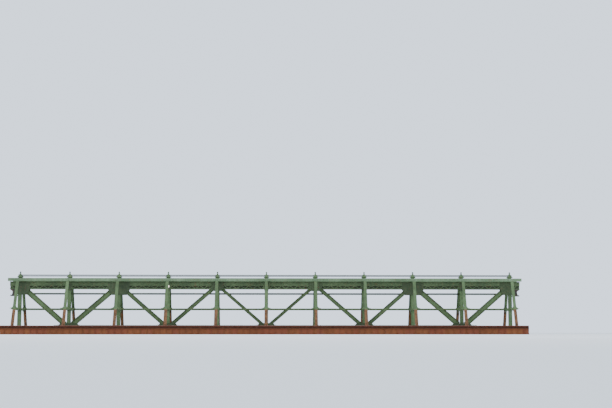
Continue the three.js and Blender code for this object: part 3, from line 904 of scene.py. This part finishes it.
def floor_beam(s, x, t, inner):
    """One half of the beam, with its angles, its end fastenings and the plate under the leg."""
    low, high = BEAM_Z
    outer = RAIL_Y - RAIL_HALF - GAP
    across = (t * inner, t * outer)
    s.block(about(x, BEAM_WEB), across, (low + 0.01, high - 0.01))
    for z, angle_z in ((low, low + BEAM_PLATE), (high - BEAM_PLATE, high - BEAM_PLATE - 0.062)):
        s.block(about(x, BEAM_X), across, (z, z + BEAM_PLATE))
        for u in BOTH:
            s.block((x + u * BEAM_WEB, x + u * BEAM_FACE), across, (angle_z, angle_z + 0.062))
    # seat plate between the flanges of the rail girder
    s.block(about(x, 0.010), (t * (outer - 0.001), t * (RAIL_Y - ANGLE_FACE - SEAT)),
            (0.024, RAIL_TOP - 0.026))
    # end angles against the rail girder and the chord
    ends = [(outer, -0.010)]
    if inner > 0:
        ends.append((inner, 0.010))
    for y, thick in ends:
        s.block(about(x, 0.062), (t * y, t * (y + thick)), (low + BEAM_PLATE, high - BEAM_PLATE))
    s.prism([(t * 1.45, high - 0.02), (t * 2.20, high - 0.02), (t * 1.86, 0.62), (t * 1.60, 0.68)],
            "x", x + PLATE_X[0], x + PLATE_X[1])


def frame_legs(i):
    """Both legs of a frame with the floor beam that joins their feet."""
    s = Steelwork()
    inner = -0.01 if abs(i) == LAST else CHORD_HALF + GAP
    for t in BOTH:
        spread_leg(s, i * PANEL, t)
        floor_beam(s, i * PANEL, t, inner)
    name = panel_name(i)
    fit(s.piece(f"cross_frame_legs_{name}", FRAME_GREEN), replaced=[f"cross_frame_{name}"])


def centre_post(s, x, low):
    """Web across the span, with a flange and two angles on each face."""
    z = (low, TOP_Z[0] - 0.001)
    web, angle, angle_y = 0.005, 0.013, POST_Y - 0.0095
    s.block(about(x, web), about(0, POST_Y - 0.009), z)
    for u in BOTH:
        s.block(about(x, POST_X), (u * POST_Y, u * (POST_Y - 0.010)), z)
        for t in BOTH:
            s.block((x + t * web, x + t * angle), (u * 0.018, u * angle_y), z)
            s.block((x + t * angle, x + t * 0.066), (u * (POST_Y - 0.018), u * angle_y), z)


def cross_tie(s, x):
    """Plate between the side longitudinals, with two angles along each edge."""
    s.block(about(x, TIE_WEB), about(0, SIDE_Y - 0.035), about(SIDE_Z, TIE_HALF))
    across = about(0, SIDE_Y - 0.045)
    for z, rise in ((SIDE_Z - TIE_HALF, 0.060), (SIDE_Z + TIE_HALF - 0.009, -0.051)):
        s.block(about(x, 0.040), across, (z, z + 0.009))
        for u in BOTH:
            s.block((x + u * TIE_WEB, x + u * TIE_FACE), across, (z, z + rise))


def curved_bracket(s, x, t):
    """Stands on the side longitudinal with hollow curves on both sides and leans with the leg."""
    foot = SIDE_Z + SIDE_HALF + 0.0005
    steps = 8
    side = []
    for k in range(steps + 1):
        turn = k / steps * math.pi / 2
        side.append((BRACKET_REACH - BRACKET_CURVE * math.sin(turn),
                     foot + 0.014 + BRACKET_CURVE * (1 - math.cos(turn))))
    outline = [(-BRACKET_REACH, foot), (BRACKET_REACH, foot)]
    outline += side + [(-u, z) for u, z in reversed(side)]
    s.skin([[(x + u, t * (leg_y(z) + off), z) for u, z in outline] for off in (0.032, 0.042)])


def post_and_tie(i):
    """Centre post and cross tie with its knee plates and curved brackets."""
    x = i * PANEL
    s = Steelwork()
    centre_post(s, x, BEAM_Z[1] - 0.010 if abs(i) == LAST else LOW_Z[1] + GAP)
    cross_tie(s, x)
    for t in BOTH:
        s.prism([
            (t * KNEE_IN, SIDE_Z - 0.07), (t * 1.41, SIDE_Z - 0.30), (t * 1.24, SIDE_Z + 0.34),
            (t * KNEE_IN, SIDE_Z + 0.07),
        ], "x", x - PLATE_X[1], x - PLATE_X[0])
        curved_bracket(s, x, t)
    fit(s.piece(f"cross_frame_post_{panel_name(i)}", LEAF_GREEN))


def node_plate(s, x, half, z_chord, z_free, y, left=True, right=True):
    """Plate over the chord's face, its free corners sloped off where it runs past the post."""
    slope = 0.30 * half
    mid = z_chord + (z_free - z_chord) * 0.55
    low = x - (half if left else STUB_X)
    high = x + (half if right else STUB_X)
    outline = [(low, z_chord), (high, z_chord)]
    outline += [(high, mid), (high - slope, z_free)] if right else [(high, z_free)]
    outline += [(low + slope, z_free), (low, mid)] if left else [(low, z_free)]
    s.prism(outline, "y", *y)


def chord_plates(i):
    """Node plates over the faces of both chords, with the packing behind them."""
    x = i * PANEL
    top = TOP_PLATES.get(abs(i))
    bottom = LOW_PLATES.get(abs(i))
    s = Steelwork()
    for t in BOTH:
        face = (t * (CHORD_HALF + 0.0085), t * FACE_Y)
        if top:
            node_plate(s, x, top[0], TOP_PLATE_EDGE, top[1], face, i != -LAST, i != LAST)
        else:
            s.block(about(x, STUB_X), face, (2.660, TOP_PLATE_EDGE))
        if bottom:
            plain = (t * (CHORD_HALF + 0.0005), t * (CHORD_HALF + 0.0125))
            node_plate(s, x, bottom[0], 0.150, bottom[1], plain)
    s.block(about(x, POST_X), about(0, 0.0985), (TOP_Z[0] - 0.070, TOP_Z[0] - 0.002))
    if bottom:
        low = LOW_Z[1] + GAP
        s.block(about(x, POST_X), about(0, 0.0905), (low, low + 0.070))
    fit(s.piece(f"cross_frame_plates_{panel_name(i)}", PLATE_GREEN_PAINTED_SHADE))


def centre_clips():
    """Packings between the posts and the centre longitudinal, bolted through it."""
    s = Steelwork()
    rows = []
    for i in PANELS:
        x = i * PANEL
        s.block(about(x, 0.055), (POST_Y - 0.002, CENTRE_Y[0] + 0.001),
                (CENTRE_Z[0] + 0.008, CENTRE_Z[1] - 0.008))
        rows += rows_along((x - 0.035, x + 0.036), [CENTRE_Y[1] + 0.001],
                           (CENTRE_Z[0] + 0.030, CENTRE_Z[1] - 0.030))
    bolts = rivets("bolts", rows, GREEN_DEEP_PAINTED_SHADE, 0.070, 0.030, 0.026)
    fit(join("centre_longitudinal_clips", [bolts, s.piece("clips", GREEN_DEEP_PAINTED_SHADE)]))


def brace_gussets():
    """Plates that carry the ends of the lower braces, and packings where they pass the chord."""
    s = Steelwork()
    rows = []
    for i in PANELS[:-1]:
        x = i * PANEL
        t = 1 if i % 2 == 0 else -1
        for end, run, side in ((x, 1, -t), (x + PANEL, -1, t)):
            foot = RAIL_Y - ANGLE_FACE - 0.001
            outline = [(BRACE_END, 1.90), (0.190, 1.90), (0.320, 2.14), (0.320, foot),
                       (BRACE_END, foot)]
            s.prism([(end + run * u, side * v) for u, v in outline], "z",
                    BRACE_Z[0] - 0.0165, BRACE_Z[0] - 0.0002)
            for y in (2.235, 2.285):
                rows.append(row((end + run * 0.10, end + run * 0.24), side * y, BRACE_Z[0]))
            rows.append(row((end + run * 0.085, end + run * 0.145), (side * 2.010, side * 1.924),
                            BRACE_Z[1]))
        mid = x + PANEL / 2
        s.block(about(mid, 0.05), about(0, 0.080), (BRACE_Z[1] + 0.0002, LOW_Z[0] + 0.001))
    bolts = rivets("bolts", rows, FRAME_GREEN, 0.070, 0.028, 0.018, "z")
    fit(join("lower_brace_gussets", [bolts, s.piece("plates", FRAME_GREEN)]))


# Rivet rows of the cross frames, on one side of frame i
def node_plate_rows(i, t):
    """Along the chord, and near the free edge of the upper plates."""
    x = i * PANEL
    y = t * (FACE_Y + 0.001)
    rows = []
    if abs(i) in TOP_PLATES:
        half, free = TOP_PLATES[abs(i)]
        left = 0.07 if i == -LAST else half - 0.05
        right = 0.07 if i == LAST else half - 0.05
        rows += rows_along((x - left, x + right), [y], (3.10, 2.98, 2.86, 2.78))
        for u in BOTH:
            if abs(i + u) <= LAST:
                rows.append(row((x + u * 0.16, x + u * (0.76 * half - 0.03)), y, free + 0.04))
    else:
        rows += [row(x + dx, y, (2.69, 3.12)) for dx in (-0.075, 0.075)]
    if abs(i) in LOW_PLATES:
        reach = LOW_PLATES[abs(i)][0] - 0.05
        rows += rows_along((x - reach, x + reach), [t * 0.103], (0.20, 0.34, 0.48, 0.60))
    return rows


def post_rows(i, t):
    """Up the post's flanges and along the foot of the curved brackets."""
    x = i * PANEL
    foot = SIDE_Z + SIDE_HALF + 0.022
    rows = [row(x + dx, t * (POST_Y + 0.001), (0.78, 2.60)) for dx in (-0.042, 0.042)]
    for u in BOTH:
        rows.append(row((x + u * 0.10, x + u * 0.26), t * (leg_y(foot) + 0.043), foot))
    return rows


def floor_beam_rows(i, t):
    """Along the beam's angles, on the foot plate and on the end angles."""
    x = i * PANEL
    edges = (BEAM_Z[0] + 0.048, BEAM_Z[1] - 0.048)
    face = BEAM_FACE + SEAT
    rows = [row(x + u * face, (t * 0.16, t * 1.42), z) for u in BOTH for z in edges]
    rows += [row(x + PLATE_X[1] + SEAT, (t * 1.60, t * 2.02), z) for z in (edges[1], 0.46)]
    rows += [row(x - face, (t * 1.50, t * 2.18), z) for z in edges]
    end = t * (RAIL_Y - RAIL_HALF - 0.0115)
    rows += [row(x + dx, end, (BEAM_Z[0] + 0.05, BEAM_Z[1] - 0.04)) for dx in (-0.042, 0.042)]
    return rows


def cross_tie_rows(i, t):
    """Along the tie's angles and on its knee plate."""
    x = i * PANEL
    knee = x - PLATE_X[1] - SEAT
    edges = about(SIDE_Z, 0.042)
    rows = [row(x + u * (TIE_FACE + SEAT), (t * 0.14, t * 0.92), z) for u in BOTH for z in edges]
    rows += [row(knee, (t * 1.00, t * 1.25), z) for z in edges]
    rows.append(row(knee, (t * 1.28, t * 1.25), (SIDE_Z - 0.18, SIDE_Z + 0.20)))
    return rows


def leg_rows(i, t):
    """Up the outer flange of the leg."""
    lean = Vector((0, LEG_LOW[1] - LEG_TOP[1], LEG_TOP[0] - LEG_LOW[0])).normalized()
    out = Vector((0, -lean.y * t, -lean.z)) * (LEG_DEEP + SEAT)
    rows = []
    for dx in (-0.038, 0.038):
        rows.append([Vector((i * PANEL + dx, t * leg_y(z), z)) + out for z in (0.75, 3.12)])
    return rows


# rows, finish, spacing, width of the heads, their depth, axis they go through
FRAME_RIVETS = {
    "node_plate_rivets": (node_plate_rows, PLATE_GREEN_PAINTED_SHADE, 0.110, 0.030, 0.020, "y"),
    "post_rivets": (post_rows, LEAF_GREEN, 0.110, 0.028, 0.020, "y"),
    "floor_beam_rivets": (floor_beam_rows, FRAME_GREEN, 0.125, 0.028, 0.020, "x"),
    "cross_tie_rivets": (cross_tie_rows, LEAF_GREEN, 0.130, 0.026, 0.018, "x"),
    "leg_rivets": (leg_rows, FRAME_GREEN, 0.125, 0.026, 0.018, "y"),
}

for i in PANELS:
    frame_legs(i)
    post_and_tie(i)
    chord_plates(i)
centre_clips()
brace_gussets()
for name, (rows_of, *finish) in FRAME_RIVETS.items():
    fit(rivets(name, [ends for i in PANELS for t in BOTH for ends in rows_of(i, t)], *finish))


# Upper edge and bracing
# half width and height of the square finials, from the strut up
FINIAL = ((0.092, 3.300), (0.084, 3.330), (0.084, 3.420), (0.120, 3.445), (0.165, 3.462),
          (0.165, 3.486), (0.150, 3.496), (0.104, 3.560), (0.062, 3.638), (0.034, 3.700),
          (0.030, 3.724))
# radius and height of their knobs, from the tip down
KNOB = ((0, -0.100), (0.024, -0.098), (0.024, -0.090), (0.038, -0.082), (0.048, -0.064),
        (0.050, -0.050), (0.047, -0.034), (0.036, -0.016), (0.020, -0.004), (0, 0))
RIDGE_END = LAST * PANEL
WIRE_AT = (-0.030, RIDGE_Z - 0.066)
WIRE_R = 0.020


def upper_edge_rivets():
    rows = []
    for t in BOTH:
        rows += rows_along(about(0, END - 0.05), [t * (EDGE_Y + 0.012 + SEAT)],
                           (EDGE_Z[0] + 0.035, EDGE_Z[1] - 0.035))
    fit(rivets("upper_edge_rivets", rows, GREEN_WITH_PAINTED_LIGHT, 0.150, 0.028, 0.018))


def upper_struts():
    """Built-up strut at each frame, with corner plates for the flat braces and its finial."""
    s = Steelwork()
    inner = EDGE_Y - 0.0025
    across = about(0, inner)
    z = EDGE_Z[0] + 0.0145
    web = 0.005
    for i in PANELS:
        x = i * PANEL
        s.block(about(x, web), across, (z, z + 0.089))
        s.block(about(x, 0.060), across, (z + 0.0805, z + 0.0905))
        for t in BOTH:
            s.block((x + t * web, x + t * 0.013), across, (z + 0.020, z + 0.081))
            s.prism([(x - 0.20, t * inner), (x + 0.20, t * inner), (x + 0.07, t * (inner - 0.20)),
                     (x - 0.07, t * (inner - 0.20))], "z", z + 0.062, z + 0.070)
        s.skin([[(x + half * a, half * b, height) for a, b in ((-1, -1), (1, -1), (1, 1), (-1, 1))]
                for half, height in FINIAL])
        s.turned(KNOB, (x, 0, FINIAL_TIP), 20)
    fit(s.piece("upper_struts_steel", LEAF_GREEN), replaced=["upper_struts"])


def round_bar(s, radius, half, centre, sides):
    """Round bar along X."""
    s.turned([(0, -half), (radius, -half), (radius, half), (0, half)], centre, sides, "x")


def ridge_rod():
    """Tube through the finials, with a collar at each of them."""
    s = Steelwork()
    round_bar(s, RIDGE_R, RIDGE_END, (0, 0, RIDGE_Z), 16)
    for i in PANELS:
        round_bar(s, RIDGE_R + 0.006, 0.130, (i * PANEL, 0, RIDGE_Z), 16)
    # The rod takes the darkest green: painted shade
    fit(s.piece("ridge_rod", GREEN_DEEP_PAINTED_SHADE))


def upper_braces():
    """Angle in each panel from corner to corner between two struts."""
    s = Steelwork()
    names = []
    z = EDGE_Z[0] + 0.045
    end_y = 0.59
    clear = 0.0145                 # where they stop beside the middle plane of a strut
    for i in PANELS[:-1]:
        x = i * PANEL
        y = end_y if i % 2 == 0 else -end_y
        # height, half thickness, half depth and shift of the flat leg and of the upright one
        for up, thick, deep, shift in ((0.004, 0.004, 0.035, 0.0), (0.018, 0.014, 0.004, 0.031)):
            verts = s.bar((x, -y, z + up), (x + PANEL, y, z + up), thick, deep, (0, 0, 1), shift)
            verts = s.cut(verts, (x + clear, 0, 0), (-1, 0, 0))
            s.cut(verts, (x + PANEL - clear, 0, 0), (1, 0, 0))
        names.append(f"upper_brace_{i + LAST + 1}")
    fit(s.piece("upper_braces_steel", GREEN_WITH_PAINTED_LIGHT), replaced=names)


def ridge_wire():
    """Taut wire stretched under the rod and clamped to every finial."""
    s = Steelwork()
    y, z = WIRE_AT
    clamp = 0.024
    round_bar(s, WIRE_R, RIDGE_END + 0.05, (0, y, z), 12)
    for i in PANELS:
        s.block(about(i * PANEL, 0.022), about(y, clamp), about(z, clamp))
    fit(s.piece("ridge_wire", CABLE))


upper_edge_rivets()
upper_struts()
ridge_rod()
upper_braces()
ridge_wire()


# Lamp
LAMP_AT = (-2 * PANEL, -FACE_Y - 0.0006, 2.915)
LAMP_BASE = 0.024              # how far the base stands off the chord
DOME_R = 0.074
DOME_DEEP = 0.054


def lamp():
    """Iron base on the chord's near face, opal dome on it."""
    base = Steelwork()
    base.turned([(0, 0), (0.090, 0), (0.090, -0.016), (0.080, -LAMP_BASE), (0, -LAMP_BASE)],
                LAMP_AT, 32, "y")
    fit(base.piece("lamp_base", IRON))
    dome = [(0, -LAMP_BASE), (DOME_R, -LAMP_BASE)]
    steps = 8
    for k in range(1, steps):
        turn = k / steps * math.pi / 2
        dome.append((DOME_R * math.cos(turn), -LAMP_BASE - DOME_DEEP * math.sin(turn)))
    dome.append((0, -LAMP_BASE - DOME_DEEP))
    glass = Steelwork()
    glass.turned(dome, LAMP_AT, 32, "y")
    fit(glass.piece("lamp_dome", OPAL, smooth=True), replaced=["lamp"])


lamp()


# Bolts of the bearings
SHOE_LOW = TOP_Z[0] - 0.0405   # underside of the shoe's plate
FOOT_TOP = PIN_Z - 0.1848      # top of the rocker's foot plate


def nut_on(s, at, radius, start, stop, axis="z"):
    """Six-sided nut with a round washer under it, from start to stop along its axis."""
    step = 0.25 * (stop - start)
    washer = radius * 1.3
    s.turned([(0, start), (washer, start), (washer, start + step), (0, start + step)], at, 20, axis)
    s.turned([(0, start + step), (radius, start + step), (radius, stop - 0.3 * step),
              (radius * 0.8, stop), (0, stop)], at, 6, axis)


def bearing_bolts(label, x):
    """Nuts under the shoe, on the rocker's foot and on both ends of the pin."""
    shoe = Steelwork()
    rocker = Steelwork()
    for nut_x in about(x, 0.160):
        for y in (-0.135, 0.135):
            nut_on(shoe, (nut_x, y, SHOE_LOW), 0.022, 0.0, -0.030)
            nut_on(rocker, (nut_x, y, FOOT_TOP), 0.022, 0.0, 0.030)
    for t in BOTH:
        nut_on(shoe, (x, 0, PIN_Z), 0.042, t * 0.1502, t * 0.168, "y")
    fit(shoe.piece(f"shoe_nuts_{label}", IRON))
    fit(rocker.piece(f"rocker_nuts_{label}", IRON), f"rocker_{label}")


bearing_bolts("left", -BEAR_X)
bearing_bolts("right", BEAR_X)


# Carried-over solids
# The centre longitudinal in the darkest green and the side longitudinals in the shaded green: painted
# shade
CARRIED = {"centre_longitudinal": GREEN_DEEP_PAINTED_SHADE}
for label in ("near", "far"):
    CARRIED[f"upper_edge_{label}"] = GREEN_WITH_PAINTED_LIGHT
    CARRIED[f"side_longitudinal_{label}"] = SHADE_GREEN
for k in range(1, 2 * LAST + 1):
    CARRIED[f"lower_brace_{k}"] = FRAME_GREEN
for label in ("left", "right"):
    CARRIED[f"bearing_shoe_{label}"] = IRON
    CARRIED[f"bearing_rocker_{label}"] = IRON
for node, material in CARRIED.items():
    mesh = frame["nodes"][node].data
    mesh.materials.clear()
    mesh.materials.append(material)


# Floor and light
FLOOR_HALF = 1500
SKY_COLOUR = (0.72, 0.82, 0.96, 1)
SKY_STRENGTH = 1.90
LIGHT_SIZE = (60, 30)
LIGHT_TARGET = (0, 0, 2)

s = Steelwork()
s.block(about(0, FLOOR_HALF), about(0, FLOOR_HALF), (-0.4, 0.0))
floor = s.piece("floor", pale_floor("pale_floor"))

world = bpy.data.worlds.new("sky_dome")
world.use_nodes = True
sky = world.node_tree.nodes["Background"]
sky.inputs["Color"].default_value = SKY_COLOUR
sky.inputs["Strength"].default_value = SKY_STRENGTH
bpy.context.scene.world = world


def soft_light(name, place, power, colour):
    """Large rectangular light aimed at the middle of the span."""
    data = bpy.data.lights.new(name, "AREA")
    data.shape = "RECTANGLE"
    data.size, data.size_y = LIGHT_SIZE
    data.energy = power
    data.color = colour
    made = bpy.data.objects.new(name, data)
    made.location = place
    aim = Vector(LIGHT_TARGET) - Vector(place)
    made.rotation_euler = aim.to_track_quat("-Z", "Y").to_euler()
    bpy.context.scene.collection.objects.link(made)


soft_light("key_light", (-14, -40, 32), 8500, (1.0, 0.97, 0.92))
soft_light("back_light", (16, 36, 28), 4000, (0.94, 0.97, 1.0))

# Camera at floor level, at the real distance
PHOTO_WIDTH = 612
FOCAL_PX = 1096.0
SENSOR = 36.0
CAMERA_AT = (0.553, -67.4, 0.10)
TILT = math.radians(6.70)
TURN = math.radians(-1.594)
FAR_CLIP = 2000

camera_data = bpy.data.cameras.new("street_camera")
camera_data.sensor_fit = "HORIZONTAL"
camera_data.sensor_width = SENSOR
camera_data.lens = SENSOR * FOCAL_PX / PHOTO_WIDTH
camera_data.clip_end = FAR_CLIP
camera = bpy.data.objects.new("street_camera", camera_data)
camera.location = CAMERA_AT
camera.rotation_euler = (math.pi / 2 + TILT, 0, TURN)
bpy.context.scene.collection.objects.link(camera)
bpy.context.scene.camera = camera
